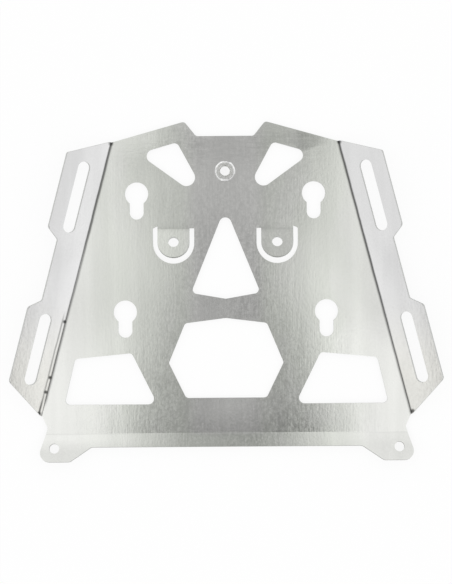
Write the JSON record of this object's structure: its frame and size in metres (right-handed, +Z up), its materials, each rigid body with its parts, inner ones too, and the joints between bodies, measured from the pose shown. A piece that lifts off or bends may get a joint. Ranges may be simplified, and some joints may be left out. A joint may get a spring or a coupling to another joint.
{
  "type": "top case mounting plate",
  "caption": "Folded sheet-metal mounting plate for a motorbike top case, with slotted side wings, keyholes, cut windows, bolt tongues, a rear flange with ears and a pressed-in nut.",
  "frame": {"origin": "axis of the front nut, on the plane of the panel's flat underside", "axes": "+X to the right, +Y to the front where the nut is, +Z up, the way the wings, tongues and rear flange fold"},
  "size_m": [0.3704, 0.2912, 0.0181],
  "materials": {
    "brushed_sheet": "brushed, bare",
    "nut_metal": "turned, bright plated"
  },
  "bodies": {
    "root": {"mounting_plate": "brushed_sheet", "front_nut": "nut_metal"}
  },
  "joints": []
}
